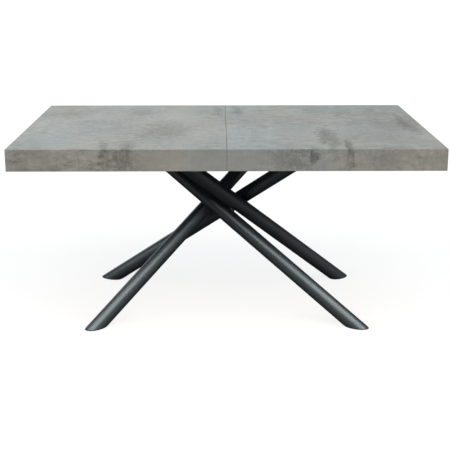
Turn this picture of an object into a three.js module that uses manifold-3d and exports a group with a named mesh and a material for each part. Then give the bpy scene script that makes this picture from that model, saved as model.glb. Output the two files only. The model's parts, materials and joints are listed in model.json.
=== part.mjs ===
// An extendable dining table: two sliding half tops with folded-down edges, telescopic guides,
// two spare leaves stored under the top, and a base of four crossed steel tubes.
//
// Millimetres, +Z up. The origin is on the floor under the middle of the table. X runs along the
// length, the direction in which the halves slide apart, and -Y is the front.
import * as THREE from 'three';
import { ConvexGeometry } from 'three/addons/geometries/ConvexGeometry.js';
import { mergeVertices } from 'three/addons/utils/BufferGeometryUtils.js';
import Module from 'manifold-3d';

// ---- driving dimensions ------------------------------------------------------------------

const TABLE = { length: 1600, depth: 900, height: 770 };
const EDGE_HEIGHT = 82; // height of the folded-down edge
const BOARD = 22; // thickness of the top panels, the folded edges and the leaves
const SEAM = 1; // gap between the two closed halves
const GAP = 0.3; // gap between pieces that rest on each other
const FOLD_GAP = 0.45; // vertical gap of the 45 degree fold lines

// room is the height left free round the two stored leaves, and rest the part of it under each.
const LEAF = { length: 900, width: 520, corner: 1.5, rest: 1, room: 4, pinX: 300, pinDepth: 20 };

const PLATE = { thickness: 8, near: 120, far: 450, halfDepth: 362, corner: 25 };
const FLANGE = { thickness: 5.4, length: 150, width: 120, corner: 10 };

// The floor point and the top point of the axes of two legs. Turned half round, they give the
// other two.
const LEGS = [
  { name: 'front_left', foot: [-520, -270], top: [205, 215], turn: 1 },
  { name: 'front_right', foot: [520, -270], top: [-365, 100], turn: 1 },
  { name: 'rear_right', foot: [-520, -270], top: [205, 215], turn: -1 },
  { name: 'rear_left', foot: [520, -270], top: [-365, 100], turn: -1 },
];
const TUBE = { radius: 30, wall: 2, sides: 32 };
const GLIDE = { height: 3, inset: 0.6, plugRoot: 1, plugHeight: 18, plugGap: 0.5 };
const CROSSINGS = [
  { name: 'front', legs: ['front_left', 'front_right'] },
  { name: 'rear', legs: ['rear_right', 'rear_left'] },
  { name: 'left', legs: ['front_left', 'rear_left'] },
  { name: 'right', legs: ['rear_right', 'front_right'] },
];
// reach and seat are the bolt's ends and the nuts' faces, measured from the tubes' axes.
const CROSSING = { stud: 5, hole: 5.5, nut: 8.5, nutHeight: 6, collar: 12, reach: 18, seat: 26 };

// The guide section: v runs towards the middle of the table from the middle of the guide, and w
// runs up from the top of the mounting plates.
const GUIDE = {
  y: 325, // distance of the middle of each guide from the table's long axis
  halfLength: 750,
  start: 12, // where a runner starts beside the seam
  length: 730, // of a runner, and of a top rail
  wall: 3,
  channel: 14, // depth of a channel, from the middle of the guide to its back
  height: 43,
  lip: 12, // height of a channel's turned-in lips
  lipThickness: 2,
  play: 0.8, // clearance of the sliding sections
  flange: 20, // width of the screwed flanges
  lift: 1.3, // height of the top rail's lower edge over the mounting plates
  boltLine: 12, // from the back of a channel to the bolts in its flange
};
const STOP_LENGTH = 16;

const PIN = { radius: 4, hole: 4.4, holeDepth: 15, length: 27, y: 150, tip: 2 };
const LATCH = {
  x: -25, y: 400, // pivot of the front latch, mirrored for the rear one
  reach: 45, // from the pivot to the keeper's stud
  thickness: 4,
  drop: 8, // from the underside of the top down to the lever
  stud: 2.5, shaft: 3.6, hole: 4, slot: 3.2, width: 20,
  mouth: 0.4, // angle of the slot's open end round the pivot, in radians
  collar: 12, head: 8, headHeight: 4, // of the shoulder screw
};
// The lever's grip: its stretch along the lever, how far it stands in and out from the lever's
// side, and how far it hangs below.
const GRIP = { start: 12, end: 36, inside: 2, outside: 6, depth: 8 };
const KEEPER = { length: 34, width: 24, corner: 4, thickness: 3, offset: 6, rim: 2, rimHeight: 2 };
const LEG_BOLT = { shank: 4, hole: 4.5, head: 7, headHeight: 5.5, x: 60, y: 45 };
const RAIL_BOLT = { shank: 3, hole: 3.5, head: 5.5, headHeight: 4, x: 285 };
const CHAMFER = 1; // at the ends of bolts and pins
const ROUND_SIDES = 12; // of small round pieces
const HOLE_SIDES = 16; // of the pin holes
const NUT_SIDES = 6;

// ---- levels worked out from them ---------------------------------------------------------

const HALF_LENGTH = TABLE.length / 2;
const HALF_DEPTH = TABLE.depth / 2;
const UNDERSIDE = TABLE.height - BOARD;
const EDGE_BOTTOM = TABLE.height - EDGE_HEIGHT;
const PLATE_TOP = UNDERSIDE - 2 * BOARD - LEAF.room;
const PLATE_BOTTOM = PLATE_TOP - PLATE.thickness;
const FLANGE_BOTTOM = PLATE_BOTTOM - GAP - FLANGE.thickness;
const LEG_TOP = FLANGE_BOTTOM - GAP;

// ---- materials ---------------------------------------------------------------------------

const finish = (color, roughness, metalness) => new THREE.MeshStandardMaterial({
  color, roughness, metalness,
});
const CONCRETE = finish(0x9fa4a6, 0.55, 0);
const GRAPHITE = finish(0x33383a, 0.45, 0.5);
const ALUMINIUM = finish(0xb9bcbf, 0.35, 1);
const STEEL = finish(0x9a9ea2, 0.4, 1);
const BLACK_PLASTIC = finish(0x1c1d1e, 0.6, 0);

// ---- tools -------------------------------------------------------------------------------

const kernel = await Module();
kernel.setup();

function toSolid(geometry) {
  const plain = geometry.clone();
  plain.deleteAttribute('normal');
  plain.deleteAttribute('uv');
  const merged = mergeVertices(plain);
  return new kernel.Manifold(new kernel.Mesh({
    numProp: 3,
    vertProperties: Float32Array.from(merged.attributes.position.array),
    triVerts: Uint32Array.from(merged.index.array),
  }));
}

function toGeometry(solid) {
  const mesh = solid.getMesh();
  const geometry = new THREE.BufferGeometry();
  geometry.setAttribute('position', new THREE.BufferAttribute(mesh.vertProperties, 3));
  geometry.setIndex(new THREE.BufferAttribute(mesh.triVerts, 1));
  return geometry;
}

const cut = (geometry, tools) => toGeometry(
  tools.reduce((solid, tool) => solid.subtract(toSolid(tool)), toSolid(geometry)),
);
const join = (geometry, others) => toGeometry(
  others.reduce((solid, other) => solid.add(toSolid(other)), toSolid(geometry)),
);

const table = new THREE.Group();

function add(name, geometry, material, [x, y, z] = [0, 0, 0], parent = table) {
  const mesh = new THREE.Mesh(geometry, material);
  mesh.name = name;
  mesh.position.set(x, y, z);
  parent.add(mesh);
  return mesh;
}

// A closed body from its corner points, for boards whose edges are mitred.
const hull = (corners) => new ConvexGeometry(corners.map((point) => new THREE.Vector3(...point)));

const box = ([x0, x1], [y0, y1], [z0, z1]) => new THREE.BoxGeometry(x1 - x0, y1 - y0, z1 - z0)
  .translate((x0 + x1) / 2, (y0 + y1) / 2, (z0 + z1) / 2);

// A round bar or hole standing on z0.
const upright = (radius, z0, z1, sides = ROUND_SIDES, x = 0, y = 0) => new THREE.CylinderGeometry(
  radius, radius, z1 - z0, sides,
).rotateX(Math.PI / 2).translate(x, y, (z0 + z1) / 2);

// A turned piece from its [radius, height] outline, which starts and ends on the axis.
const turned = (outline) => new THREE.LatheGeometry(
  outline.map(([radius, height]) => new THREE.Vector2(radius, height)), ROUND_SIDES,
).rotateX(Math.PI / 2);

const outlineShape = (points) => new THREE.Shape(points.map(([x, y]) => new THREE.Vector2(x, y)));

function roundedPlate(length, width, corner, thickness) {
  const [x, y] = [length / 2, width / 2];
  const shape = new THREE.Shape();
  shape.absarc(x - corner, y - corner, corner, 0, Math.PI / 2);
  shape.absarc(-x + corner, y - corner, corner, Math.PI / 2, Math.PI);
  shape.absarc(-x + corner, -y + corner, corner, Math.PI, 1.5 * Math.PI);
  shape.absarc(x - corner, -y + corner, corner, 1.5 * Math.PI, 2 * Math.PI);
  return new THREE.ExtrudeGeometry(shape, { depth: thickness, bevelEnabled: false, curveSegments: 4 });
}

// A section drawn as [v, w] points, drawn out along X from x0 to x1.
function drawnOut(points, x0, x1) {
  const alongX = new THREE.Matrix4().makeBasis(
    new THREE.Vector3(0, 1, 0), new THREE.Vector3(0, 0, 1), new THREE.Vector3(1, 0, 0),
  );
  return new THREE.ExtrudeGeometry(outlineShape(points), { depth: x1 - x0, bevelEnabled: false })
    .applyMatrix4(alongX).translate(x0, 0, 0);
}

// ---- the two halves of the top -----------------------------------------------------------

// The panel's edges and the folded-down boards meet along 45 degree fold lines, so the decor
// runs over the edge without a joint on either face.
function topPanel(side) {
  const seam = side * SEAM / 2;
  const level = (z, inset) => [
    [seam, -HALF_DEPTH + inset, z],
    [seam, HALF_DEPTH - inset, z],
    [side * (HALF_LENGTH - inset), -HALF_DEPTH + inset, z],
    [side * (HALF_LENGTH - inset), HALF_DEPTH - inset, z],
  ];
  const pinHoles = [-1, 1].map((row) => (
    new THREE.CylinderGeometry(PIN.hole, PIN.hole, 2 * PIN.holeDepth, HOLE_SIDES)
      .rotateZ(Math.PI / 2).translate(0, row * PIN.y, TABLE.height - BOARD / 2)
  ));
  return cut(hull([...level(TABLE.height, 0), ...level(UNDERSIDE, BOARD)]), pinHoles);
}

function longEdge(side, row) {
  const foldTop = TABLE.height - FOLD_GAP;
  const face = (inset, z) => [
    [side * SEAM / 2, row * (HALF_DEPTH - inset), z],
    [side * (HALF_LENGTH - inset - FOLD_GAP), row * (HALF_DEPTH - inset), z],
  ];
  return hull([
    ...face(0, EDGE_BOTTOM), ...face(BOARD, EDGE_BOTTOM),
    ...face(0, foldTop), ...face(BOARD, foldTop - BOARD),
  ]);
}

function endEdge(side) {
  const foldTop = TABLE.height - FOLD_GAP;
  const face = (inset, z) => [-1, 1].map((row) => [
    side * (HALF_LENGTH - inset), row * (HALF_DEPTH - inset), z,
  ]);
  return hull([
    ...face(0, EDGE_BOTTOM), ...face(BOARD, EDGE_BOTTOM),
    ...face(0, foldTop), ...face(BOARD, foldTop - BOARD),
  ]);
}

for (const [sideName, side] of [['left', -1], ['right', 1]]) {
  add(`top_panel_${sideName}`, topPanel(side), CONCRETE);
  add(`front_edge_${sideName}`, longEdge(side, -1), CONCRETE);
  add(`rear_edge_${sideName}`, longEdge(side, 1), CONCRETE);
  add(`end_edge_${sideName}`, endEdge(side), CONCRETE);
}

// The pins stand in the left half's meeting edge and slip into the right half's holes.
for (const [rowName, row] of [['front', -1], ['rear', 1]]) {
  const pin = turned([
    [0, 0], [PIN.radius - CHAMFER, 0], [PIN.radius, CHAMFER], [PIN.radius, PIN.length - PIN.tip],
    [PIN.radius - PIN.tip, PIN.length], [0, PIN.length],
  ]);
  const mesh = add(`alignment_pin_${rowName}`, pin, STEEL,
    [-PIN.length / 2, row * PIN.y, TABLE.height - BOARD / 2]);
  mesh.rotation.y = Math.PI / 2;
}

// ---- spare leaves, stored flat on the mounting plates ------------------------------------

for (const [name, layer] of [['lower', 0], ['upper', 1]]) {
  const pinHoles = [-1, 1].map((end) => (
    new THREE.CylinderGeometry(PIN.hole, PIN.hole, 2 * LEAF.pinDepth, HOLE_SIDES)
      .translate(end * LEAF.pinX, LEAF.width / 2, BOARD / 2)
  ));
  const leaf = cut(roundedPlate(LEAF.length, LEAF.width, LEAF.corner, BOARD), pinHoles);
  add(`extension_leaf_${name}`, leaf, CONCRETE,
    [0, 0, PLATE_TOP + LEAF.rest + layer * (BOARD + LEAF.rest)]);
}

// ---- telescopic guides: guide rail on the base, runner, top rail on a half ---------------

const { wall, channel, height: guideHeight, lip, lipThickness, play, flange } = GUIDE;

// A channel that opens towards v = 0, with turned-in lips, drawn for v > 0.
const lipFace = play;
const channelInside = guideHeight - wall;
const railTop = UNDERSIDE - GAP - PLATE_TOP;

const topRailSection = [
  [lipFace, GUIDE.lift], [channel, GUIDE.lift],
  [channel, railTop - wall], [channel + flange, railTop - wall],
  [channel + flange, railTop], [channel - wall, railTop],
  [channel - wall, guideHeight], [lipFace, guideHeight],
  [lipFace, channelInside - lip], [lipFace + lipThickness, channelInside - lip],
  [lipFace + lipThickness, channelInside], [channel - wall, channelInside],
  [channel - wall, wall + GAP], [lipFace + lipThickness, wall + GAP],
  [lipFace + lipThickness, wall + lip], [lipFace, wall + lip],
];
const guideRailSection = [
  [-lipFace, GAP], [-channel - flange, GAP], [-channel - flange, GAP + wall],
  [-channel, GAP + wall], [-channel, guideHeight], [-lipFace, guideHeight],
  [-lipFace, channelInside - lip], [-lipFace - lipThickness, channelInside - lip],
  [-lipFace - lipThickness, channelInside], [-channel + wall, channelInside],
  [-channel + wall, wall + GAP], [-lipFace - lipThickness, wall + GAP],
  [-lipFace - lipThickness, wall + lip], [-lipFace, wall + lip],
];

// The runner is an H lying on its side: a flange in each channel and a neck between the lips.
const neckLow = wall + lip + play;
const neckHigh = channelInside - lip - play;
const flangeLow = wall + GAP + play;
const flangeHigh = channelInside - play;
const flangeIn = lipFace + lipThickness + play;
const flangeOut = channel - wall - play;
const runnerSection = [
  [-flangeOut, flangeLow], [-flangeIn, flangeLow], [-flangeIn, neckLow], [flangeIn, neckLow],
  [flangeIn, flangeLow], [flangeOut, flangeLow], [flangeOut, flangeHigh], [flangeIn, flangeHigh],
  [flangeIn, neckHigh], [-flangeIn, neckHigh], [-flangeIn, flangeHigh], [-flangeOut, flangeHigh],
];

const RAIL_BOLT_V = -channel - GUIDE.boltLine;

for (const [rowName, turn] of [['front', 0], ['rear', Math.PI]]) {
  const guide = new THREE.Group();
  guide.rotation.z = turn;
  table.add(guide);
  const place = [0, -GUIDE.y, PLATE_TOP];

  const bolts = [-1, 1].map((side) => upright(
    RAIL_BOLT.hole, -wall, 2 * wall, ROUND_SIDES, side * RAIL_BOLT.x, RAIL_BOLT_V,
  ));
  const rail = cut(drawnOut(guideRailSection, -GUIDE.halfLength, GUIDE.halfLength), bolts);
  add(`guide_rail_${rowName}`, rail, ALUMINIUM, place, guide);

  const stopHalf = STOP_LENGTH / 2;
  const stop = box([-stopHalf, stopHalf], [-flangeOut, -flangeIn], [flangeLow, flangeHigh]);
  add(`runner_stop_${rowName}`, stop, BLACK_PLASTIC, place, guide);

  for (const side of [-1, 1]) {
    const sideName = side * Math.cos(turn) < 0 ? 'left' : 'right';
    const x0 = side < 0 ? -GUIDE.start - GUIDE.length : GUIDE.start;
    const x1 = x0 + GUIDE.length;
    add(`runner_${sideName}_${rowName}`, drawnOut(runnerSection, x0, x1), ALUMINIUM, place, guide);
    add(`top_rail_${sideName}_${rowName}`, drawnOut(topRailSection, x0, x1), ALUMINIUM, place, guide);

    // A bolt from above through the guide rail's flange into the mounting plate.
    const seat = wall + 2 * GAP;
    const headTop = seat + RAIL_BOLT.headHeight;
    const bolt = turned([
      [0, -PLATE.thickness], [RAIL_BOLT.shank, -PLATE.thickness], [RAIL_BOLT.shank, seat],
      [RAIL_BOLT.head, seat], [RAIL_BOLT.head, headTop - CHAMFER],
      [RAIL_BOLT.head - CHAMFER, headTop], [0, headTop],
    ]);
    add(`rail_bolt_${sideName}_${rowName}`, bolt, STEEL,
      [side * RAIL_BOLT.x, -GUIDE.y + RAIL_BOLT_V, PLATE_TOP], guide);
  }
}

// ---- legs --------------------------------------------------------------------------------

const legs = new Map(LEGS.map(({ name, foot, top, turn }) => [name, {
  foot: new THREE.Vector3(turn * foot[0], turn * foot[1], 0),
  top: new THREE.Vector3(turn * top[0], turn * top[1], LEG_TOP),
}]));

// A bar round the leg's axis, cut level at z0 and z1: an ellipse drawn up along the leaning axis.
// It is in the leg's own frame, whose origin is the axis's floor point.
function legBar(leg, radius, z0, z1, hollow = 0) {
  const run = leg.top.clone().sub(leg.foot);
  const stretch = run.length() / run.z;
  const heading = Math.atan2(run.y, run.x);
  const shape = new THREE.Shape();
  shape.absellipse(0, 0, radius * stretch, radius, 0, 2 * Math.PI, false, heading);
  if (hollow > 0) {
    const bore = new THREE.Path();
    bore.absellipse(0, 0, hollow * stretch, hollow, 0, 2 * Math.PI, true, heading);
    shape.holes.push(bore);
  }
  const lean = new THREE.Matrix4().set(
    1, 0, run.x / run.z, 0,
    0, 1, run.y / run.z, 0,
    0, 0, 1, 0,
    0, 0, 0, 1,
  );
  return new THREE.ExtrudeGeometry(shape, {
    depth: z1 - z0, bevelEnabled: false, curveSegments: TUBE.sides / 2,
  }).translate(0, 0, z0).applyMatrix4(lean);
}

// The points where two leg axes come closest.
function closest(a, b) {
  const u = a.top.clone().sub(a.foot);
  const v = b.top.clone().sub(b.foot);
  const w = a.foot.clone().sub(b.foot);
  const [uu, uv, vv, uw, vw] = [u.dot(u), u.dot(v), v.dot(v), u.dot(w), v.dot(w)];
  const scale = uu * vv - uv * uv;
  return [
    a.foot.clone().addScaledVector(u, (uv * vw - vv * uw) / scale),
    b.foot.clone().addScaledVector(v, (uu * vw - uv * uw) / scale),
  ];
}

// A round bar along the line from one point to another, centred between them.
function crossBar(from, to, geometry) {
  const along = to.clone().sub(from).normalize();
  const turnTo = new THREE.Quaternion().setFromUnitVectors(new THREE.Vector3(0, 0, 1), along);
  return geometry.applyQuaternion(turnTo)
    .translate(...from.clone().add(to).multiplyScalar(0.5).toArray());
}

const crossings = CROSSINGS.map(({ name, legs: pair }) => {
  const [from, to] = closest(legs.get(pair[0]), legs.get(pair[1]));
  return { name, pair, from, to, apart: from.distanceTo(to) };
});

for (const [name, leg] of legs) {
  const foot = leg.foot.toArray();
  const boltHoles = crossings.filter(({ pair }) => pair.includes(name)).map(({ from, to, apart }) => (
    crossBar(from, to, upright(CROSSING.hole, CROSSING.reach - apart / 2, apart / 2 - CROSSING.reach))
      .translate(-leg.foot.x, -leg.foot.y, 0)
  ));
  const tube = legBar(leg, TUBE.radius, GLIDE.height + GAP, LEG_TOP, TUBE.radius - TUBE.wall);
  add(`leg_tube_${name}`, cut(tube, boltHoles), GRAPHITE, foot);

  const sole = legBar(leg, TUBE.radius - GLIDE.inset, 0, GLIDE.height);
  const plugRadius = TUBE.radius - TUBE.wall - GLIDE.plugGap;
  const plug = legBar(leg, plugRadius, GLIDE.plugRoot, GLIDE.plugHeight);
  add(`foot_glide_${name}`, join(sole, [plug]), BLACK_PLASTIC, foot);
}

// Each crossing is drawn together by a bolt through both tube walls, with a nut inside each tube
// and a saddle washer between them.
for (const { name, pair, from, to, apart } of crossings) {
  const half = apart / 2;
  const end = half - CROSSING.reach;
  const nutMiddle = half - CROSSING.seat + CROSSING.nutHeight / 2;
  const nuts = [-1, 1].map((way) => upright(
    CROSSING.nut, way * nutMiddle - CROSSING.nutHeight / 2, way * nutMiddle + CROSSING.nutHeight / 2,
    NUT_SIDES,
  ));
  const stud = join(upright(CROSSING.stud, -end, end), nuts);
  const washer = cut(
    crossBar(from, to, upright(CROSSING.collar, -half, half)),
    pair.map((leg) => legBar(legs.get(leg), TUBE.radius + GAP, 0, LEG_TOP)
      .translate(legs.get(leg).foot.x, legs.get(leg).foot.y, 0)),
  );
  add(`crossing_bolt_${name}`, join(crossBar(from, to, stud), [washer]), GRAPHITE);
}

// ---- mounting plates and leg flanges -----------------------------------------------------

const boltPlaces = (leg) => [-1, 1].map((way) => [
  leg.top.x + way * LEG_BOLT.x, leg.top.y - way * LEG_BOLT.y,
]);

for (const [name, leg] of legs) {
  const [x, y] = [leg.top.x, leg.top.y];
  const holes = boltPlaces(leg).map(([boltX, boltY]) => upright(
    LEG_BOLT.hole, -FLANGE.thickness, 2 * FLANGE.thickness, ROUND_SIDES, boltX - x, boltY - y,
  ));
  const flangePlate = roundedPlate(FLANGE.length, FLANGE.width, FLANGE.corner, FLANGE.thickness);
  add(`leg_flange_${name}`, cut(flangePlate, holes), GRAPHITE, [x, y, FLANGE_BOTTOM]);

  boltPlaces(leg).forEach(([boltX, boltY], index) => {
    const headBottom = -GAP - LEG_BOLT.headHeight;
    const shankTop = PLATE_TOP - CHAMFER - FLANGE_BOTTOM;
    const bolt = turned([
      [0, headBottom], [LEG_BOLT.head - CHAMFER, headBottom],
      [LEG_BOLT.head, headBottom + CHAMFER], [LEG_BOLT.head, -GAP],
      [LEG_BOLT.shank, -GAP], [LEG_BOLT.shank, shankTop - CHAMFER],
      [LEG_BOLT.shank - CHAMFER, shankTop], [0, shankTop],
    ]);
    add(`leg_bolt_${name}_${index + 1}`, bolt, STEEL, [boltX, boltY, FLANGE_BOTTOM]);
  });
}

for (const [sideName, side] of [['left', -1], ['right', 1]]) {
  const middle = side * (PLATE.near + PLATE.far) / 2;
  const legHoles = [...legs.values()].filter((leg) => Math.sign(leg.top.x) === side)
    .flatMap((leg) => boltPlaces(leg)).map(([x, y]) => upright(
      LEG_BOLT.hole, -PLATE.thickness, 2 * PLATE.thickness, ROUND_SIDES, x - middle, y,
    ));
  const railHoles = [-1, 1].map((row) => upright(
    RAIL_BOLT.hole, -PLATE.thickness, 2 * PLATE.thickness, ROUND_SIDES,
    side * RAIL_BOLT.x - middle, row * (GUIDE.y - RAIL_BOLT_V),
  ));
  const plate = roundedPlate(PLATE.far - PLATE.near, 2 * PLATE.halfDepth, PLATE.corner, PLATE.thickness);
  add(`mounting_plate_${sideName}`, cut(plate, [...legHoles, ...railHoles]), GRAPHITE,
    [middle, 0, PLATE_BOTTOM]);
}

// ---- latches that hold the two halves together -------------------------------------------

// The lever lies along Y when released, and turns a quarter round onto the keeper's stud. Its
// slot follows the circle that the stud makes round the pivot, and opens on the given side.
function latchLever(slotSide) {
  const half = LATCH.width / 2;
  const shape = new THREE.Shape();
  shape.absarc(0, 0, half, Math.PI, 2 * Math.PI);
  shape.absarc(0, LATCH.reach, half, 0, Math.PI);
  const hole = new THREE.Path();
  hole.absarc(0, 0, LATCH.hole, 0, 2 * Math.PI, true);
  shape.holes.push(hole);
  const plate = new THREE.ExtrudeGeometry(shape, {
    depth: LATCH.thickness, bevelEnabled: false, curveSegments: 8,
  });

  const slotMouth = Math.PI / 2 - slotSide * LATCH.mouth;
  const slotShape = new THREE.Shape();
  slotShape.absarc(0, 0, LATCH.reach + LATCH.slot, Math.PI / 2, slotMouth, slotSide > 0);
  slotShape.absarc(0, 0, LATCH.reach - LATCH.slot, slotMouth, Math.PI / 2, slotSide < 0);
  const slot = new THREE.ExtrudeGeometry(slotShape, {
    depth: 3 * LATCH.thickness, bevelEnabled: false, curveSegments: 8,
  }).translate(0, 0, -LATCH.thickness);
  const slotEnd = upright(
    LATCH.slot, -LATCH.thickness, 2 * LATCH.thickness, ROUND_SIDES, 0, LATCH.reach,
  );

  const gripSides = [half - GRIP.inside, half + GRIP.outside].map((x) => -slotSide * x);
  const grip = box(
    [Math.min(...gripSides), Math.max(...gripSides)], [GRIP.start, GRIP.end],
    [-GRIP.depth, LATCH.thickness],
  );
  return join(cut(plate, [slot, slotEnd]), [grip]);
}

for (const [rowName, row] of [['front', -1], ['rear', 1]]) {
  const lever = latchLever(-row);
  const leverMesh = add(`latch_lever_${rowName}`, lever, BLACK_PLASTIC,
    [LATCH.x, row * LATCH.y, UNDERSIDE - LATCH.drop]);
  leverMesh.rotation.z = row < 0 ? 0 : Math.PI;

  // The shoulder screw hangs from the left half and carries the lever between its collars.
  const headTop = -LATCH.drop - GAP;
  const headBottom = headTop - LATCH.headHeight;
  const collarBottom = LATCH.thickness + GAP - LATCH.drop;
  const screw = turned([
    [0, headBottom], [LATCH.head - CHAMFER, headBottom], [LATCH.head, headBottom + CHAMFER],
    [LATCH.head, headTop], [LATCH.shaft, headTop],
    [LATCH.shaft, collarBottom], [LATCH.collar, collarBottom], [LATCH.collar, -GAP], [0, -GAP],
  ]);
  add(`latch_pivot_${rowName}`, screw, STEEL, [LATCH.x, row * LATCH.y, UNDERSIDE]);

  // The keeper is a plate under the right half with a headed stud.
  const rimBottom = -LATCH.drop - KEEPER.thickness;
  const rimTop = rimBottom + KEEPER.rimHeight;
  const stud = turned([
    [0, rimBottom], [LATCH.stud + KEEPER.rim, rimBottom], [LATCH.stud + KEEPER.rim, rimTop],
    [LATCH.stud, rimTop], [LATCH.stud, -CHAMFER], [0, -CHAMFER],
  ]);
  const keeperPlate = roundedPlate(
    KEEPER.length, KEEPER.width, KEEPER.corner, KEEPER.thickness - GAP,
  ).translate(KEEPER.offset, 0, -KEEPER.thickness);
  add(`latch_keeper_${rowName}`, join(keeperPlate, [stud]), STEEL,
    [LATCH.x + LATCH.reach, row * LATCH.y, UNDERSIDE]);
}

export default table;
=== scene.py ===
"""Looks for the extendable dining table: finished boards with a concrete decor, round powder-coated
tubes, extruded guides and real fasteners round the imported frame, on a pale floor in soft light.

Metres, +Z up, the frame's own axes: X along the table, -Y the front."""
import json
import math

import bmesh
import bpy
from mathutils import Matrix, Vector


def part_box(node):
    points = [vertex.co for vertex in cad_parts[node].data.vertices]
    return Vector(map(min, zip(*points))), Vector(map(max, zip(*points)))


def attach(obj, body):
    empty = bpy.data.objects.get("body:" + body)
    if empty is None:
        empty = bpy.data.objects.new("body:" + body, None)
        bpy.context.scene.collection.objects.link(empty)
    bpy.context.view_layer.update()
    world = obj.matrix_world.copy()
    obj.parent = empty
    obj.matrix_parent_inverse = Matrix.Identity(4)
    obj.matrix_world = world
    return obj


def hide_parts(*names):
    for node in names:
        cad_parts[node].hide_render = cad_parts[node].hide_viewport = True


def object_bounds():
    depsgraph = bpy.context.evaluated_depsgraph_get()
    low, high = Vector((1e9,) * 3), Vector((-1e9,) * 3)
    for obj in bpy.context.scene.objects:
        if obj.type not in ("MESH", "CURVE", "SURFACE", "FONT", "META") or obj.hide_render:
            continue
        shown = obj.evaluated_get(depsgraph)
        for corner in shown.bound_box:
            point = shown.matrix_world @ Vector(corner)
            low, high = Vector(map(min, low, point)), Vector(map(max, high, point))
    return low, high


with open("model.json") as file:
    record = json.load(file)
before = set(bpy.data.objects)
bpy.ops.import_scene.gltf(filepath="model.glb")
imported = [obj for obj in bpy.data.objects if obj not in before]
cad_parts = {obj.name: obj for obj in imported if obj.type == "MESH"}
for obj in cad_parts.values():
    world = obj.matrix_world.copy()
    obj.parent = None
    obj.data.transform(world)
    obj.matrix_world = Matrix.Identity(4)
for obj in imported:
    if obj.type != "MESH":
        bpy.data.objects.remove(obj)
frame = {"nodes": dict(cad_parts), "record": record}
CAD_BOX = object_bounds()
NODES = frame["nodes"]
BODY_OF = {node: body for body, nodes in frame["record"]["behaviour"]["bodies"].items() for node in nodes}
FOOT = "foot_"
FEET = {
    mount["name"].removeprefix(FOOT): Vector(mount["pos_m"])
    for mount in frame["record"]["mounts"]
    if mount["name"].startswith(FOOT)
}

MM = 0.001
UP = Vector((0, 0, 1))
SIDES = {"left": -1, "right": 1}
ROWS = {"front": -1, "rear": 1}
HALF_LENGTH, HALF_DEPTH, TOP = CAD_BOX[1]

# ---- camera -------------------------------------------------------------------------------


def make_camera():
    """The photograph's viewpoint: well above the top, in front of its middle and looking slightly down."""
    data = bpy.data.cameras.new("camera")
    data.sensor_width = 36
    data.lens = 69.3
    data.shift_y = -0.19
    camera = bpy.data.objects.new("camera", data)
    camera.location = (-0.031, -3.488, 1.474)
    pitch, yaw = 12.4, 0.45
    camera.rotation_euler = (math.radians(90 - pitch), 0, math.radians(-yaw))
    bpy.context.scene.collection.objects.link(camera)
    bpy.context.scene.camera = camera


make_camera()

# ---- materials ----------------------------------------------------------------------------


class Shader:
    """A Principled material. Its methods add nodes and return their output sockets."""

    def __init__(self, name, **constants):
        self.material = bpy.data.materials.new(name)
        self.material.use_nodes = True
        self.tree = self.material.node_tree
        self.principled = self.tree.nodes["Principled BSDF"]
        for socket, value in constants.items():
            self.principled.inputs[socket.replace("_", " ")].default_value = value

    def node(self, kind, settings=None, **inputs):
        made = self.tree.nodes.new(kind)
        for key, value in (settings or {}).items():
            setattr(made, key, value)
        for key, value in inputs.items():
            self.feed(made.inputs[key.replace("_", " ")], value)
        return made

    def feed(self, socket, value):
        if isinstance(value, bpy.types.NodeSocket):
            self.tree.links.new(value, socket)
        else:
            socket.default_value = value

    def output(self, socket, value):
        self.feed(self.principled.inputs[socket], value)

    def object_place(self):
        return self.node("ShaderNodeTexCoord").outputs["Object"]

    def uv_place(self, layer):
        return self.node("ShaderNodeUVMap", {"uv_map": layer}).outputs["UV"]

    def stretched(self, place, scale, shift=(0, 0, 0)):
        return self.node("ShaderNodeMapping", Vector=place, Scale=scale, Location=shift).outputs["Vector"]

    def noise(self, place, scale, detail=4.0, roughness=0.55):
        made = self.node(
            "ShaderNodeTexNoise", Vector=place, Scale=scale, Detail=detail, Roughness=roughness,
        )
        return made.outputs["Fac"]

    def math(self, operation, *values):
        made = self.node("ShaderNodeMath", {"operation": operation})
        for socket, value in zip(made.inputs, values):
            self.feed(socket, value)
        return made.outputs[0]

    def times(self, first, second):
        return self.math("MULTIPLY", first, second)

    def plus(self, first, second):
        return self.math("ADD", first, second)

    def less(self, first, second):
        return self.math("SUBTRACT", first, second)

    def ramp(self, value, low, high, to_low=0.0, to_high=1.0, kind="SMOOTHSTEP"):
        made = self.node("ShaderNodeMapRange", {"interpolation_type": kind})
        for key, number in (
            ("Value", value), ("From Min", low), ("From Max", high), ("To Min", to_low), ("To Max", to_high),
        ):
            self.feed(made.inputs[key], number)
        return made.outputs["Result"]

    def mix(self, factor, first, second, blend="MIX"):
        made = self.node("ShaderNodeMix", {"data_type": "RGBA", "blend_type": blend})
        colours = [socket for socket in made.inputs if socket.type == "RGBA"]
        self.feed(made.inputs["Factor"], factor)
        self.feed(colours[0], first)
        self.feed(colours[1], second)
        return next(socket for socket in made.outputs if socket.type == "RGBA")

    def vector(self, operation, first, second):
        made = self.node("ShaderNodeVectorMath", {"operation": operation})
        self.feed(made.inputs[0], first)
        self.feed(made.inputs["Scale"] if operation == "SCALE" else made.inputs[1], second)
        return made.outputs["Value" if operation == "LENGTH" else "Vector"]

    def bump(self, height, strength, distance):
        made = self.node("ShaderNodeBump", Height=height, Strength=strength, Distance=distance)
        return made.outputs["Normal"]


def grey(value, cool=0.0):
    """A grey, tinted towards blue by cool."""
    return (value * (1 - cool), value, value * (1 + cool), 1)


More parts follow.
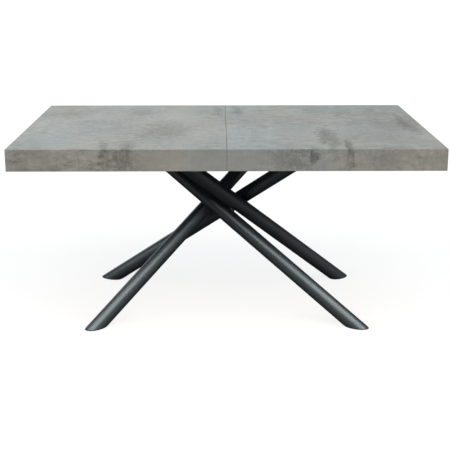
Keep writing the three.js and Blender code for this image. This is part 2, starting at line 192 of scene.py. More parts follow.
# Stain marks in the decor, and one pale patch near the rear that is a painted sheen, as (x, y, half width,
# half height, strength) on the unfolded sheet, where the front edge carries on below y = -0.45. A positive
# strength darkens and a negative one lightens.
STAINS_AND_SHEEN = (
    (-0.45, -0.42, 0.020, 0.120, 0.60),
    (-0.36, -0.44, 0.030, 0.130, 0.75),
    (-0.39, -0.50, 0.070, 0.060, 0.55),
    (-0.25, -0.12, 0.100, 0.200, 0.40),
    (-0.36, 0.28, 0.100, 0.120, 0.35),
    (-0.035, 0.30, 0.030, 0.120, 0.60),
    (0.05, 0.30, 0.028, 0.130, 0.60),
    (0.39, -0.24, 0.045, 0.200, 0.80),
    (0.45, -0.40, 0.018, 0.140, 0.80),
    (0.31, -0.475, 0.020, 0.035, 1.00),
    (0.24, -0.49, 0.090, 0.045, 0.42),
    (0.74, 0.00, 0.050, 0.200, 0.55),
    (0.62, -0.47, 0.120, 0.050, 0.15),
    # painted sheen: a pale patch at the rear middle, standing in for the bright backdrop's sheen on the top
    (-0.05, 0.36, 0.300, 0.090, -0.30),
    (0.45, 0.40, 0.150, 0.060, -0.20),
    (-0.66, 0.22, 0.100, 0.110, 0.30),
    (-0.70, -0.495, 0.060, 0.030, -0.60),
    (-0.74, -0.49, 0.030, 0.040, 0.35),
    (-0.60, -0.40, 0.100, 0.060, -0.35),
    (-0.20, 0.10, 0.100, 0.300, -0.25),
    (0.22, 0.30, 0.060, 0.120, -0.35),
    (0.52, 0.02, 0.240, 0.060, 0.16),
    (0.60, -0.26, 0.110, 0.080, 0.10),
    (-0.58, 0.05, 0.160, 0.060, 0.22),
    (-0.12, -0.20, 0.040, 0.150, -0.40),
    (-0.13, 0.12, 0.050, 0.120, -0.45),
    (0.10, -0.36, 0.100, 0.060, -0.30),
    (-0.08, -0.50, 0.240, 0.070, -0.75),
    (0.62, -0.50, 0.100, 0.060, -0.15),
    (0.50, -0.22, 0.330, 0.260, -0.32),
)


def stains_and_sheen(shader, place, ragged):
    """How dark and how light the stain marks and the painted sheen make each place on the sheet."""
    totals = {1: 0.0, -1: 0.0}
    for x, y, half_width, half_height, strength in STAINS_AND_SHEEN:
        size = (1 / half_width, 1 / half_height, 1)
        centred = shader.stretched(place, size, (-x * size[0], -y * size[1], 0))
        away = shader.plus(shader.vector("LENGTH", centred, (0, 0, 0)), ragged)
        reach = shader.ramp(away, 0.2, 1.3, abs(strength), 0.0)
        sign = 1 if strength > 0 else -1
        totals[sign] = shader.math("MAXIMUM", totals[sign], reach)
    return totals[1], totals[-1]


def wandering(shader, sheet):
    """Places on the sheet, pushed about by a centimetre or two so that no pattern runs straight."""
    push = shader.node("ShaderNodeTexNoise", Vector=sheet, Scale=7.0, Detail=4.0).outputs["Color"]
    drift = shader.vector("SCALE", shader.vector("SUBTRACT", push, (0.5, 0.5, 0.5)), 0.05)
    return shader.vector("ADD", sheet, drift)


def decor_patterns(shader, sheet, place):
    """The noises that the decor is mixed from, on the plain sheet or on the wandering places."""
    return {
        "clouds": shader.noise(shader.stretched(place, (1.0, 0.7, 1.0)), 3.6, 5.0, 0.55),
        "hue": shader.noise(shader.stretched(place, (1.0, 0.8, 1.0), (2, 9, 0)), 2.6, 4.0, 0.5),
        "busy": shader.noise(shader.stretched(place, (1.0, 0.8, 1.0), (8, 6, 0)), 3.0, 4.0, 0.6),
        "mottle": shader.noise(shader.stretched(place, (1.0, 0.9, 1.0), (5, 1, 0)), 40.0, 9.0, 0.78),
        "smears": shader.noise(shader.stretched(sheet, (210.0, 6.0, 1.0), (1, 8, 0)), 1.0, 5.0, 0.65),
        "strokes": shader.noise(shader.stretched(place, (15.0, 36.0, 1.0), (3, 5, 0)), 1.0, 8.0, 0.76),
        "veins": shader.noise(shader.stretched(place, (0.8, 1.2, 1.0), (4, 4, 0)), 36.0, 6.0, 0.65),
        "grain": shader.noise(sheet, 300.0, 4.0, 0.75),
    }


def decor_shade(shader, noises, worked, dark):
    """How light or dark the cement is: clouds, fine patterns, trowel strokes and dark stain marks."""
    mottle, smears, strokes = noises["mottle"], noises["smears"], noises["strokes"]
    shade = shader.ramp(noises["clouds"], 0.30, 0.70, 0.85, 1.17, "LINEAR")
    for pattern, low, high in ((mottle, 0.76, 1.27), (smears, 0.90, 1.10), (noises["grain"], 0.78, 1.24)):
        shade = shader.times(shade, shader.ramp(pattern, 0.25, 0.75, low, high, "LINEAR"))
    uneven = shader.times(shader.less(strokes, 0.5), shader.ramp(worked, 0, 1, 0.60, 1.7))
    shade = shader.times(shade, shader.plus(1.0, uneven))
    dark_strokes = shader.times(shader.ramp(strokes, 0.34, 0.42, 0.35, 0.0), worked)
    shade = shader.times(shade, shader.less(1.0, dark_strokes))
    broken = shader.ramp(smears, 0.30, 0.62, 0.40, 1.0)
    stained = shader.times(shader.times(dark, broken), 0.8)
    return shader.times(shade, shader.less(1.0, stained))


def decor_chalk(shader, noises, worked, dark, light):
    """How chalky each place is: pale stain marks and the painted sheen, fine veins and the pale edges of
    trowel strokes.
    """
    from_vein = shader.math("ABSOLUTE", shader.less(noises["veins"], 0.5))
    vein = shader.ramp(from_vein, 0.004, 0.026, 1.0, 0.0)
    crazing = shader.times(vein, shader.plus(dark, shader.ramp(worked, 0, 1, 0.10, 0.65)))
    pale_strokes = shader.times(shader.ramp(noises["strokes"], 0.58, 0.70, 0.0, 0.45), worked)
    chalk = shader.math("MAXIMUM", shader.times(light, 0.45), shader.times(crazing, 0.5))
    return shader.math("MAXIMUM", chalk, pale_strokes)


def concrete():
    """Concrete-effect melamine: clouds, mottling, trowel strokes, stain marks, a painted sheen near the rear
    and fine speckle. All of it lies on the unfolded sheet, so the pattern runs over the folds and down the
    edges."""
    shader = Shader("concrete_melamine", IOR=1.5)
    sheet = shader.uv_place("decor")
    place = wandering(shader, sheet)
    noises = decor_patterns(shader, sheet, place)
    mottle, grain = noises["mottle"], noises["grain"]

    worked = shader.ramp(noises["busy"], 0.42, 0.60)
    # light holds the pale stain marks and the painted sheen near the rear
    dark, light = stains_and_sheen(shader, place, shader.ramp(mottle, 0.3, 0.7, -0.8, 0.8, "LINEAR"))
    shade = decor_shade(shader, noises, worked, dark)
    chalk = decor_chalk(shader, noises, worked, dark, light)

    cool, warm, chalky = (0.260, 0.281, 0.278, 1), (0.284, 0.281, 0.266, 1), (0.39, 0.40, 0.39, 1)
    cement = shader.mix(shader.ramp(noises["hue"], 0.40, 0.60), cool, warm)
    level = shader.node("ShaderNodeCombineColor", Red=shade, Green=shade, Blue=shade).outputs["Color"]
    cement = shader.mix(1.0, cement, level, "MULTIPLY")
    shader.output("Base Color", shader.mix(chalk, cement, chalky))
    gloss = shader.plus(shader.times(mottle, 0.16), shader.times(grain, 0.08))
    shader.output("Roughness", shader.plus(gloss, 0.40))
    relief = shader.plus(shader.times(noises["smears"], 0.6), shader.times(grain, 0.4))
    shader.output("Normal", shader.bump(relief, 0.20, 0.0006))
    return shader.material


def backing():
    """Plain grey balancing paper on the hidden faces of the boards."""
    shader = Shader("backing_paper")
    place = shader.object_place()
    fibre = shader.noise(shader.stretched(place, (1, 6, 1)), 60.0, 5.0, 0.7)
    cloud = shader.noise(place, 3.0, 3.0)
    tone = shader.mix(fibre, grey(0.50, 0.01), grey(0.58, 0.01))
    shader.output("Base Color", shader.mix(shader.ramp(cloud, 0.3, 0.7, 0.0, 0.4), tone, grey(0.45)))
    shader.output("Roughness", shader.ramp(fibre, 0.2, 0.8, 0.55, 0.75))
    shader.output("Normal", shader.bump(fibre, 0.1, 0.0004))
    return shader.material


def powder_coat(name, low, high, metallic, roughness):
    """Satin metallic powder coat: an even dark paint with fine orange peel and a few bright flakes."""
    shader = Shader(name, Metallic=metallic, IOR=1.5)
    place = shader.object_place()
    peel = shader.noise(place, 260.0, 2.0, 0.5)
    cloud = shader.noise(place, 7.0, 3.0, 0.5)
    flakes = shader.noise(place, 2200.0, 1.0, 0.5)
    tone = shader.mix(shader.ramp(cloud, 0.3, 0.7), low, high)
    bright = shader.ramp(flakes, 0.62, 0.75, 0.0, 0.08)
    shader.output("Base Color", shader.mix(bright, tone, grey(0.18, 0.02)))
    shader.output("Roughness", shader.ramp(cloud, 0.3, 0.7, roughness, roughness + 0.03))
    shader.output("Normal", shader.bump(peel, 0.04, 0.0001))
    return shader.material


def extruded_aluminium():
    """Bare aluminium profile with die lines along its length."""
    shader = Shader("extruded_aluminium", Metallic=1.0, Anisotropic=0.4)
    place = shader.object_place()
    lines = shader.noise(shader.stretched(place, (3, 900, 900)), 1.0, 4.0, 0.7)
    cloud = shader.noise(shader.stretched(place, (1, 6, 6)), 8.0, 3.0)
    tone = shader.mix(shader.ramp(lines, 0.3, 0.7), grey(0.56, 0.012), grey(0.68, 0.012))
    shader.output("Base Color", shader.mix(shader.ramp(cloud, 0.35, 0.7, 0.0, 0.3), tone, grey(0.48, 0.01)))
    shader.output("Roughness", shader.ramp(lines, 0.3, 0.7, 0.30, 0.46))
    shader.output("Normal", shader.bump(lines, 0.12, 0.0002))
    return shader.material


def zinc_plate():
    """Zinc-plated steel, faintly blue with yellow blooms."""
    shader = Shader("zinc_plate", Metallic=1.0)
    place = shader.object_place()
    bloom = shader.noise(place, 90.0, 3.0)
    fine = shader.noise(place, 1400.0, 3.0)
    tone = shader.mix(shader.ramp(bloom, 0.35, 0.65), grey(0.55, 0.03), (0.60, 0.58, 0.50, 1))
    shader.output("Base Color", tone)
    shader.output("Roughness", shader.ramp(fine, 0.3, 0.7, 0.28, 0.42))
    shader.output("Normal", shader.bump(fine, 0.08, 0.0001))
    return shader.material


def moulded_plastic():
    """Black nylon with a spark-eroded grain."""
    shader = Shader("moulded_plastic")
    place = shader.object_place()
    grain = shader.noise(place, 1500.0, 2.0, 0.6)
    cloud = shader.noise(place, 40.0, 3.0)
    shader.output("Base Color", shader.mix(cloud, grey(0.014, 0.01), grey(0.024, 0.01)))
    shader.output("Roughness", shader.ramp(grain, 0.3, 0.7, 0.48, 0.62))
    shader.output("Normal", shader.bump(grain, 0.15, 0.0002))
    return shader.material


DECOR = concrete()
BACKING = backing()
LEG_COAT = powder_coat("leg_powder_coat", (0.116, 0.142, 0.157, 1), (0.128, 0.156, 0.173, 1), 0.85, 0.40)
PLATE_COAT = powder_coat("plate_powder_coat", (0.070, 0.082, 0.085, 1), (0.085, 0.099, 0.102, 1), 0.7, 0.48)
ALUMINIUM = extruded_aluminium()
ZINC = zinc_plate()
PLASTIC = moulded_plastic()

# ---- mesh tools ---------------------------------------------------------------------------


def from_bmesh(name, bm, *materials):
    bmesh.ops.recalc_face_normals(bm, faces=bm.faces)
    mesh = bpy.data.meshes.new(name)
    bm.to_mesh(mesh)
    bm.free()
    obj = bpy.data.objects.new(name, mesh)
    bpy.context.scene.collection.objects.link(obj)
    for material in materials:
        mesh.materials.append(material)
    return obj


def bake_modifiers(obj):
    graph = bpy.context.evaluated_depsgraph_get()
    mesh = bpy.data.meshes.new_from_object(obj.evaluated_get(graph), depsgraph=graph)
    obj.modifiers.clear()
    obj.data = mesh


def smooth(obj, angle=32):
    """Shades smoothly, and keeps flat faces flat up to their rounded edges."""
    obj.data.shade_smooth()
    obj.data.set_sharp_from_angle(angle=math.radians(angle))
    obj.modifiers.new("flat_faces", "WEIGHTED_NORMAL").keep_sharp = True
    bake_modifiers(obj)


def soften(obj, width, segments=2):
    """Rounds every edge sharper than 31 degrees, which leaves the facets of round shapes alone."""
    bevel = obj.modifiers.new("bevel", "BEVEL")
    bevel.width = width
    bevel.segments = segments
    bevel.limit_method = "ANGLE"
    bevel.angle_limit = math.radians(31)
    bake_modifiers(obj)
    smooth(obj)


def stand_in(obj, node):
    """obj takes the place of a CAD node, on its body."""
    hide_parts(node)
    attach(obj, BODY_OF[node])


def extra(obj, body):
    """A small piece with no CAD node of its own."""
    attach(obj, body)


def rounded_copy(node, width, material, segments=2):
    """A CAD node's own shape with its edges rounded."""
    bm = bmesh.new()
    bm.from_mesh(NODES[node].data)
    bmesh.ops.remove_doubles(bm, verts=bm.verts, dist=1e-6)
    bmesh.ops.dissolve_limit(bm, angle_limit=math.radians(0.5), verts=bm.verts, edges=bm.edges)
    obj = from_bmesh(f"{node}_rounded", bm, material)
    soften(obj, width, segments)
    stand_in(obj, node)


def hull(points):
    """The convex solid round these points."""
    bm = bmesh.new()
    for point in points:
        bm.verts.new(point)
    made = bmesh.ops.convex_hull(bm, input=bm.verts)
    spare = [item for item in made["geom_interior"] if isinstance(item, bmesh.types.BMVert)]
    bmesh.ops.delete(bm, geom=spare, context="VERTS")
    bmesh.ops.dissolve_limit(bm, angle_limit=math.radians(0.2), verts=bm.verts, edges=bm.edges)
    return bm


def loft(bm, rings, closed=False):
    """Skins rings of points that all have the same count. Open ends are capped."""
    loops = [[bm.verts.new(point) for point in points] for points in rings]
    pairs = list(zip(loops, loops[1:]))
    if closed:
        pairs.append((loops[-1], loops[0]))
    for lower, upper in pairs:
        for i in range(len(lower)):
            j = (i + 1) % len(lower)
            bm.faces.new((lower[i], lower[j], upper[j], upper[i]))
    if not closed:
        bm.faces.new(reversed(loops[0]))
        bm.faces.new(loops[-1])


def angles(sides):
    return [2 * math.pi * i / sides for i in range(sides)]


def ring(centre, along, radii):
    """Points round an axis at even angles, one for each radius."""
    across = along.orthogonal().normalized()
    other = along.cross(across)
    return [
        centre + radius * (math.cos(turn) * across + math.sin(turn) * other)
        for radius, turn in zip(radii, angles(len(radii)))
    ]


def turned(bm, place, along, outline, sides, closed=False):
    """A shape turned on an axis from place: outline holds (radius, distance along the axis)."""
    rings = [ring(place + distance * along, along, [radius] * sides) for radius, distance in outline]
    loft(bm, rings, closed)


def drill(obj, holes, sides=24):
    """Cuts round holes, given as (start, end, radius)."""
    for start, end, radius in holes:
        bm = bmesh.new()
        along = (end - start).normalized()
        loft(bm, [ring(point, along, [radius] * sides) for point in (start, end)])
        cutter = from_bmesh("cutter", bm)
        cut = obj.modifiers.new("hole", "BOOLEAN")
        cut.object = cutter
        cut.solver = "EXACT"
        bake_modifiers(obj)
        bpy.data.objects.remove(cutter)


def lay_decor(obj, unfold):
    """Writes each corner's place on the unfolded decor sheet."""
    layer = obj.data.uv_layers.new(name="decor")
    for polygon in obj.data.polygons:
        for loop in polygon.loop_indices:
            place = obj.data.vertices[obj.data.loops[loop].vertex_index].co
            layer.data[loop].uv = unfold(place)


def back_faces(obj, out):
    """Gives the second material to the faces that look away from the direction out."""
    for polygon in obj.data.polygons:
        polygon.material_index = 1 if polygon.normal.dot(out) < -0.5 else 0


# ---- the half tops ------------------------------------------------------------------------

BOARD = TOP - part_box("top_panel_left")[0].z
EDGE_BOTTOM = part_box("front_edge_left")[0].z
SEAM = 0.5 * MM  # from the middle of the table to each half's meeting face
SEAM_BREAK = 0.3 * MM  # the small break along the edge boards' meeting faces
FOLD = 1.2 * MM  # radius of the folded corner
CHAMFER = 0.8 * MM
HAIRLINE = 0.05 * MM  # what is left between two boards at a fold line
# The black seam strip, which is painted shade in the seam: its depth below the faces round the seam, its
# width, and its tip's distance from the middle.
SHADE_STRIP_DEPTH, SHADE_STRIP_WIDTH, SHADE_STRIP_TIP = 2.5 * MM, 2.5 * MM, 0.05 * MM
# An alignment pin's hole: the play round the pin, how far it reaches, and the cutter's overrun.
PIN_PLAY, PIN_HOLE_END, CUTTER_OVERRUN = 0.4 * MM, 15 * MM, 5 * MM


def fold_arc(start, end, steps=4):
    """(inset, height) points on the folded corner's arc, between two angles from the outer face."""
    for i in range(steps + 1):
        turn = math.radians(start + (end - start) * i / steps)
        yield FOLD * (1 - math.cos(turn)), TOP - FOLD * (1 - math.sin(turn))


def pin_holes(side):
    """The holes for the alignment pins in a panel's meeting face."""
    height = TOP - BOARD / 2
    for row in ROWS:
        low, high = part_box(f"alignment_pin_{row}")
        y, radius = (low.y + high.y) / 2, (high.y - low.y) / 2 + PIN_PLAY
        open_end = Vector((side * (SEAM - CUTTER_OVERRUN), y, height))
        yield open_end, Vector((side * PIN_HOLE_END, y, height)), radius


def make_panel(name, side):
    """A half's top board, with a folded corner on three sides and a broken edge at the seam."""
    # (inset, height, break at the seam) of each level of the board
    levels = [(BOARD, TOP - BOARD, 0.0), (CHAMFER, TOP - CHAMFER, 0.0)]
    levels += [(inset, height, CHAMFER) for inset, height in fold_arc(45, 90)]
    levels.append((FOLD, TOP, CHAMFER))
    points = [
        (x, row * (HALF_DEPTH - inset), height)
        for inset, height, seam_break in levels
        for x in (side * (HALF_LENGTH - inset), side * (SEAM + seam_break))
        for row in ROWS.values()
    ]
    panel = from_bmesh(f"top_panel_{name}_board", hull(points), DECOR, BACKING)
    drill(panel, pin_holes(side))
    lay_decor(panel, lambda place: (place.x, place.y))
    back_faces(panel, UP)
    smooth(panel)
    stand_in(panel, f"top_panel_{name}")


def edge_section():
    """(inset, height) outline of an edge board."""
    return [
        (0, EDGE_BOTTOM + CHAMFER), (CHAMFER, EDGE_BOTTOM), (BOARD - CHAMFER, EDGE_BOTTOM),
        (BOARD, EDGE_BOTTOM + CHAMFER), (BOARD, TOP - BOARD - HAIRLINE),
        *((inset, height - HAIRLINE) for inset, height in fold_arc(0, 45)),
    ]


def make_long_edge(name, side, row_name, row):
    """A half's front or rear edge board."""
    points = []
    for inset, height in edge_section():
        y = row * (HALF_DEPTH - inset)
        points.append((side * (HALF_LENGTH - inset - HAIRLINE), y, height))
        points.append((side * (SEAM + (SEAM_BREAK if inset < SEAM_BREAK else 0)), y, height))
    points.append((side * SEAM, row * (HALF_DEPTH - SEAM_BREAK), TOP - 2 * CHAMFER))
    edge = from_bmesh(f"{row_name}_edge_{name}_board", hull(points), DECOR, BACKING)
    lay_decor(edge, lambda place: (place.x, row * (2 * HALF_DEPTH - abs(place.y) + TOP - place.z)))
    back_faces(edge, Vector((0, row, 0)))
    smooth(edge)
    stand_in(edge, f"{row_name}_edge_{name}")


def make_end_edge(name, side):
    """The edge board at a half's outer end."""
    points = [
        (side * (HALF_LENGTH - inset), row * (HALF_DEPTH - inset), height)
        for inset, height in edge_section()
        for row in ROWS.values()
    ]
    edge = from_bmesh(f"end_edge_{name}_board", hull(points), DECOR, BACKING)
    lay_decor(edge, lambda place: (side * (2 * HALF_LENGTH - abs(place.x) + TOP - place.z), place.y))
    back_faces(edge, Vector((side, 0, 0)))
    smooth(edge)
    stand_in(edge, f"end_edge_{name}")


def make_seam_shade_strip(name, side):
    """A thin black strip in the seam, round three sides of the meeting face, that closes it to light; its
    black is painted shade standing in for the dark depth of the seam.
    """
    rings = []
    for row, at_top in ((-1, False), (-1, True), (1, True), (1, False)):
        outer, inner = (
            Vector((0, row * (HALF_DEPTH - inset), TOP - inset if at_top else EDGE_BOTTOM + CHAMFER))
            for inset in (SHADE_STRIP_DEPTH, SHADE_STRIP_DEPTH + SHADE_STRIP_WIDTH)
        )
        rings.append([
            outer.lerp(inner, across) + Vector((side * (SEAM + (SHADE_STRIP_TIP - SEAM) * out), 0, 0))
            for across, out in ((0, 0), (0, 0.6), (0.25, 1), (0.75, 1), (1, 0.6), (1, 0))
        ])
    bm = bmesh.new()
    loft(bm, rings)
    # the black here is painted shade, so that the seam shows as a dark line
    shade_strip = from_bmesh(f"seam_seal_{name}", bm, PLASTIC)
    smooth(shade_strip)
    extra(shade_strip, f"{name}_half")


for side_name, side_sign in SIDES.items():
    make_panel(side_name, side_sign)
    make_seam_shade_strip(side_name, side_sign)
    make_end_edge(side_name, side_sign)
    for row_label, row_sign in ROWS.items():
        make_long_edge(side_name, side_sign, row_label, row_sign)

# ---- the spare leaves ---------------------------------------------------------------------

LEAF_PIN_PLACES = (-0.3, 0.3)
LEAF_HOLE_RADIUS, LEAF_HOLE_DEPTH = 4.4 * MM, 20 * MM
LEAF_PIN_ROOT = 1 * MM  # how deep a pin's outline starts inside the leaf
POINT = 0.02 * MM  # the radius that stands for a closed end
LEAF_PIN = [(POINT, 0), (4 * MM, 0), (4 * MM, 11 * MM), (3 * MM, 13 * MM), (POINT, 13.4 * MM)]


def make_leaf(name):
    """A leaf with pins along its front edge, and holes for the next one's pins along its rear."""
    node = f"extension_leaf_{name}"
    low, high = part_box(node)
    middle = (low.z + high.z) / 2
    bm = hull([(x, y, z) for x in (low.x, high.x) for y in (low.y, high.y) for z in (low.z, high.z)])
    leaf = from_bmesh(f"{node}_board", bm, DECOR, BACKING)
    soften(leaf, 0.7 * MM)
    drill(leaf, [
        (
            Vector((x, high.y - LEAF_HOLE_DEPTH, middle)), Vector((x, high.y + CUTTER_OVERRUN, middle)),
            LEAF_HOLE_RADIUS,
        )
        for x in LEAF_PIN_PLACES
    ])
    lay_decor(leaf, lambda place: (place.x, place.y + place.z))
    back_faces(leaf, UP)
    smooth(leaf)
    stand_in(leaf, node)

    bm = bmesh.new()
    for x in LEAF_PIN_PLACES:
        turned(bm, Vector((x, low.y + LEAF_PIN_ROOT, middle)), Vector((0, -1, 0)), LEAF_PIN, 40)
    pins = from_bmesh(f"leaf_pins_{name}", bm, ZINC)
    smooth(pins)
    extra(pins, "base")


for leaf_name in ("lower", "upper"):
    make_leaf(leaf_name)

# ---- legs ---------------------------------------------------------------------------------

TUBE_RADIUS, TUBE_WALL = 30 * MM, 2 * MM
TUBE_BORE = TUBE_RADIUS - TUBE_WALL
TUBE_SIDES, TUBE_STEPS = 128, 16
TUBE_BREAK = 0.5 * MM  # the small break round a tube's outer ends
GLIDE_GAP, GLIDE_PLUG = 0.1 * MM, 18 * MM  # the gap under the tube, and the plug's height off the floor
WELD_BEAD, WELD_SIDES, WELD_RIPPLES = 3.2 * MM, 192, 64


class Leg:
    """A leg's leaning axis, found from its foot mount and the box of its CAD tube."""

    def __init__(self, name):
        self.name = name
        self.foot = FEET[name]
        low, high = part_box(f"leg_tube_{name}")
        self.bottom, self.top = low.z, high.z
        self.lean = (low + high - 2 * self.foot) / (low.z + high.z)
        self.lean.z = 1
        self.heading = Vector((self.lean.x, self.lean.y, 0)).normalized()
        self.across = Vector((-self.heading.y, self.heading.x, 0))

    def ring(self, radius, height, sides=TUBE_SIDES):
        """The level cut through a round bar on the axis: an ellipse along the heading."""
        centre = self.foot + height * self.lean
        return [
            centre + radius * (
                self.lean.length * math.cos(turn) * self.heading + math.sin(turn) * self.across
            )
            for turn in angles(sides)
        ]

    def rings(self, outline):
        return [self.ring(radius, height) for radius, height in outline]


def make_leg(leg):
    """A tube cut level at both ends."""
    low, high = leg.bottom + TUBE_BREAK, leg.top - TUBE_BREAK
    outline = [(TUBE_RADIUS - TUBE_BREAK, leg.bottom)]
    outline += [(TUBE_RADIUS, low + (high - low) * i / TUBE_STEPS) for i in range(TUBE_STEPS + 1)]
    outline += [(TUBE_RADIUS - TUBE_BREAK, leg.top), (TUBE_BORE, leg.top), (TUBE_BORE, leg.bottom)]
    bm = bmesh.new()
    loft(bm, leg.rings(outline), closed=True)
    tube = from_bmesh(f"leg_tube_{leg.name}_round", bm, LEG_COAT)
    smooth(tube)
    stand_in(tube, f"leg_tube_{leg.name}")


def make_glide(leg):
    """A glide: a sole nearly as wide as the tube, and a plug that goes up into its bore."""
    top = leg.bottom - GLIDE_GAP
    sole, plug = TUBE_RADIUS - 0.6 * MM, TUBE_BORE - 0.6 * MM
    bm = bmesh.new()
    loft(bm, leg.rings([
        (sole - 0.8 * MM, 0), (sole - 0.2 * MM, 0.3 * MM), (sole, 0.9 * MM), (sole, top - 0.4 * MM),
        (sole - 0.3 * MM, top), (plug, top), (plug, GLIDE_PLUG - 3 * MM), (plug - 1.4 * MM, GLIDE_PLUG),
    ]))
    glide = from_bmesh(f"foot_glide_{leg.name}_moulded", bm, PLASTIC)
    smooth(glide)
    stand_in(glide, f"foot_glide_{leg.name}")


def make_weld(leg):
    """The weld bead round the top of the tube, with the ripples that a torch leaves."""
    centre = leg.foot + leg.top * leg.lean
    rings = []
    for i, point in enumerate(leg.ring(TUBE_RADIUS + 0.6 * MM, leg.top - 0.8 * MM, WELD_SIDES)):
        out = Vector((point.x - centre.x, point.y - centre.y, 0)).normalized()
        size = WELD_BEAD * (1 + 0.10 * math.sin(2 * math.pi * i * WELD_RIPPLES / WELD_SIDES))
        rings.append([
            point + size * (math.cos(math.radians(turn)) * out + math.sin(math.radians(turn)) * UP)
            for turn in (-180, -135, -90, -45, 0)
        ])
    bm = bmesh.new()
    loft(bm, rings, closed=True)
    weld = from_bmesh(f"leg_weld_{leg.name}", bm, PLATE_COAT)
    smooth(weld, 60)
    extra(weld, "base")


LEGS = [Leg(name) for name in FEET]
for leg in LEGS:
    make_leg(leg)
    make_glide(leg)
    make_weld(leg)
    rounded_copy(f"leg_flange_{leg.name}", 0.8 * MM, PLATE_COAT)
for crossing in ("front", "rear", "left", "right"):
    rounded_copy(f"crossing_bolt_{crossing}", 0.3 * MM, LEG_COAT)
for side_name in SIDES:
    rounded_copy(f"mounting_plate_{side_name}", 0.8 * MM, PLATE_COAT)

# ---- fasteners ----------------------------------------------------------------------------


def hexagon(width, sides):
    """The radii, at even angles, of a hexagon that is width across its flats."""
    return [
        width / 2 / math.cos((turn + math.pi / 6) % (math.pi / 3) - math.pi / 6)
        for turn in angles(sides)
    ]


def socket_screw(bm, place, up, head_radius, head_height, shank_radius, shank_length, sides=48):
    """A socket-head screw whose head stands on place and points along up."""
    soft = head_radius * 0.12
    socket, deep = head_radius * 0.95, head_height * 0.35
    outline = [
        (shank_radius * 0.7, -shank_length), (shank_radius, -shank_length + shank_radius * 0.4),
        (shank_radius, 0), (head_radius - soft * 0.5, 0), (head_radius, soft * 0.5),
        (head_radius, head_height - soft), (head_radius - soft, head_height),
    ]
    rings = [ring(place + height * up, up, [radius] * sides) for radius, height in outline]
    rings.append(ring(place + head_height * up, up, hexagon(socket, sides)))
    rings.append(ring(place + deep * up, up, hexagon(socket * 0.97, sides)))
    loft(bm, rings)


def washer(bm, place, up, radius, hole, thickness):
    """A washer that lies on place, on the side that up points to."""
    soft = 0.2 * MM
    turned(bm, place, up, [
        (hole, 0), (radius - soft, 0), (radius, soft), (radius, thickness - soft),
        (radius - soft, thickness), (hole, thickness),
    ], 48, closed=True)


# A washer's thickness, its play round the shank and its gap to the head.
WASHER, WASHER_PLAY, WASHER_GAP = 1.2 * MM, 0.1 * MM, 0.05 * MM


def make_bolt(node, way, shank, head_height):
    """A bolt on a washer in its CAD node's box, with its head up (way 1) or down (way -1)."""
    low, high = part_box(node)
    radius = (high.x - low.x) / 2
    seat_height = high.z - head_height if way > 0 else low.z + head_height
    seat = Vector(((low.x + high.x) / 2, (low.y + high.y) / 2, seat_height))
    up = way * UP
    length = high.z - low.z - head_height + WASHER
    bm = bmesh.new()
    socket_screw(bm, seat + WASHER * up, up, radius * 0.82, head_height - WASHER, shank, length)
    washer(bm, seat, up, radius, shank + WASHER_PLAY, WASHER - WASHER_GAP)
    bolt = from_bmesh(f"{node}_screw", bm, ZINC)
    smooth(bolt)
    stand_in(bolt, node)


for leg in LEGS:
    for number in (1, 2):
        make_bolt(f"leg_bolt_{leg.name}_{number}", -1, 4 * MM, 5.5 * MM)
for side_name in SIDES:
    for row_label in ROWS:
        make_bolt(f"rail_bolt_{side_name}_{row_label}", 1, 3 * MM, 4 * MM)

# ---- guides -------------------------------------------------------------------------------

RAIL_SCREWS = 6
# A top rail's flange: its thickness, and the distance of its screws from the rail's outer edge.
FLANGE, FLANGE_LINE = 3 * MM, 9 * MM
# A rail screw's head radius, head height, shank radius and shank length.
RAIL_SCREW = (4.2 * MM, 2.4 * MM, 2 * MM, 2.5 * MM)


def make_rail_screws(side_name, row_name):
    """The screws that hold a top rail up to its panel, through the rail's flange."""
    low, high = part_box(f"top_rail_{side_name}_{row_name}")
    y = low.y + FLANGE_LINE if row_name == "rear" else high.y - FLANGE_LINE
    bm = bmesh.new()
    for i in range(RAIL_SCREWS):
        x = low.x + (high.x - low.x) * (i + 0.5) / RAIL_SCREWS
        socket_screw(bm, Vector((x, y, high.z - FLANGE)), -UP, *RAIL_SCREW, sides=24)
    screws = from_bmesh(f"top_rail_screws_{side_name}_{row_name}", bm, ZINC)
    smooth(screws)
    extra(screws, f"{side_name}_half")


for row_label in ROWS:
    rounded_copy(f"guide_rail_{row_label}", 0.35 * MM, ALUMINIUM)
    rounded_copy(f"runner_stop_{row_label}", 1.0 * MM, PLASTIC, 3)
    for side_name in SIDES:
        rounded_copy(f"runner_{side_name}_{row_label}", 0.5 * MM, ALUMINIUM)
        rounded_copy(f"top_rail_{side_name}_{row_label}", 0.35 * MM, ALUMINIUM)
        make_rail_screws(side_name, row_label)

# ---- pins and latches ---------------------------------------------------------------------


def make_pin(row_name):
    """An alignment pin with a rounded lead at its free end."""
    node = f"alignment_pin_{row_name}"
    low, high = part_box(node)
    radius, length = (high.z - low.z) / 2, high.x - low.x
    place = Vector((low.x, (low.y + high.y) / 2, (low.z + high.z) / 2))
    bm = bmesh.new()
    turned(bm, place, Vector((1, 0, 0)), [
        (POINT, 0), (radius - 0.6 * MM, 0), (radius, 0.6 * MM), (radius, length - 2.6 * MM),
        (radius - 0.4 * MM, length - 1.4 * MM), (radius - 1.4 * MM, length - 0.3 * MM), (POINT, length),
    ], 40)
    pin = from_bmesh(f"{node}_turned", bm, ZINC)
    smooth(pin)
    stand_in(pin, node)


PIVOT_HEAD, PIVOT_HEAD_HEIGHT = 8 * MM, 4 * MM
PIVOT_SHAFT, PIVOT_COLLAR = 3.6 * MM, 3.4 * MM  # the shaft's radius and the collar's thickness


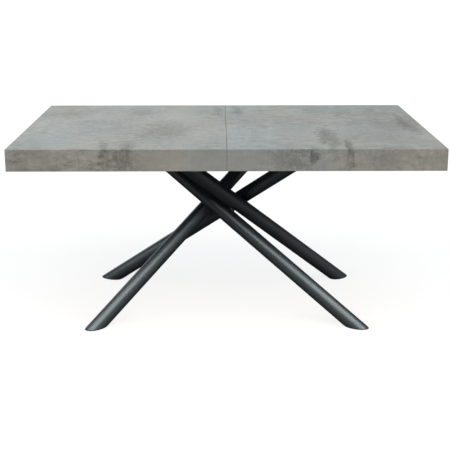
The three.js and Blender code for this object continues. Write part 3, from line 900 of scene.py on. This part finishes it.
def make_pivot(row_name):
    """A latch's shoulder screw: its head below the lever, and a collar between lever and top."""
    node = f"latch_pivot_{row_name}"
    low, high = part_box(node)
    x, y, radius = (low.x + high.x) / 2, (low.y + high.y) / 2, (high.x - low.x) / 2
    seat = Vector((x, y, low.z + PIVOT_HEAD_HEIGHT))
    collar = Vector((x, y, high.z - PIVOT_COLLAR))
    bm = bmesh.new()
    socket_screw(bm, seat, -UP, PIVOT_HEAD, PIVOT_HEAD_HEIGHT, PIVOT_SHAFT, high.z - seat.z)
    washer(bm, collar, UP, radius, PIVOT_SHAFT + WASHER_PLAY, PIVOT_COLLAR)
    pivot = from_bmesh(f"{node}_screw", bm, ZINC)
    smooth(pivot)
    stand_in(pivot, node)


for row_label in ROWS:
    make_pin(row_label)
    make_pivot(row_label)
    rounded_copy(f"latch_lever_{row_label}", 0.6 * MM, PLASTIC, 3)
    rounded_copy(f"latch_keeper_{row_label}", 0.4 * MM, ZINC)

# ---- floor and light ----------------------------------------------------------------------

# Large lamps far away, as (name, azimuth, elevation, spread, strength, colour), in degrees.
# Azimuth 0 shines from the front and 90 from the right.
WARM = (1.0, 0.94, 0.88)
LAMPS = (
    ("overhead", 180, 80, 50, 0.54, (0.50, 0.90, 1.20)),
    ("front", 0, 52, 50, 1.8, WARM),
    ("right", 62, 35, 40, 1.65, WARM),
    ("left", -62, 35, 40, 1.45, WARM),
    ("rear", 200, 24, 50, 0.5, (0.95, 0.99, 1.0)),
)
WHITE, DOME = 1.06, 0.045  # the world's strength as the camera sees it, and as it lights the table


def make_floor():
    """A white floor. It shows itself bright to the camera, as an overexposed studio floor does, but
    throws only a little light back up at the table."""
    bm = bmesh.new()
    bmesh.ops.create_grid(bm, x_segments=4, y_segments=4, size=60)
    floor = from_bmesh("floor", bm)
    shader = Shader("floor_white", Roughness=0.6)
    dust = shader.noise(shader.object_place(), 3.0, 3.0)
    shader.output("Base Color", shader.mix(dust, grey(0.035), grey(0.045)))
    pale = shader.node("ShaderNodeBsdfDiffuse", Color=grey(0.19)).outputs["BSDF"]
    glow = shader.node("ShaderNodeEmission", Color=grey(1.0), Strength=0.82).outputs["Emission"]
    both = shader.node("ShaderNodeAddShader")
    shader.feed(both.inputs[0], pale)
    shader.feed(both.inputs[1], glow)
    choice = shader.node("ShaderNodeMixShader")
    shader.feed(choice.inputs[0], shader.node("ShaderNodeLightPath").outputs["Is Camera Ray"])
    shader.feed(choice.inputs[1], shader.principled.outputs["BSDF"])
    shader.feed(choice.inputs[2], both.outputs["Shader"])
    shader.feed(shader.tree.nodes["Material Output"].inputs["Surface"], choice.outputs["Shader"])
    floor.data.materials.append(shader.material)


def make_world():
    """A dim, even dome of light, which shows as plain white behind the floor's far edge."""
    world = bpy.data.worlds.new("studio")
    bpy.context.scene.world = world
    world.use_nodes = True
    nodes, links = world.node_tree.nodes, world.node_tree.links
    background = nodes["Background"]
    background.inputs["Color"].default_value = (0.96, 0.985, 1.0, 1)
    level = nodes.new("ShaderNodeMapRange")
    level.inputs["To Min"].default_value = DOME
    level.inputs["To Max"].default_value = WHITE
    links.new(nodes.new("ShaderNodeLightPath").outputs["Is Camera Ray"], level.inputs["Value"])
    links.new(level.outputs["Result"], background.inputs["Strength"])


def make_lamp(name, azimuth, elevation, spread, strength, colour):
    data = bpy.data.lights.new(name, "SUN")
    data.angle = math.radians(spread)
    data.energy = strength
    data.color = colour
    lamp = bpy.data.objects.new(name, data)
    lamp.rotation_euler = (math.radians(90 - elevation), 0, math.radians(azimuth))
    bpy.context.scene.collection.objects.link(lamp)


make_floor()
make_world()
for lamp_row in LAMPS:
    make_lamp(*lamp_row)
bpy.context.scene.view_settings.view_transform = "Standard"
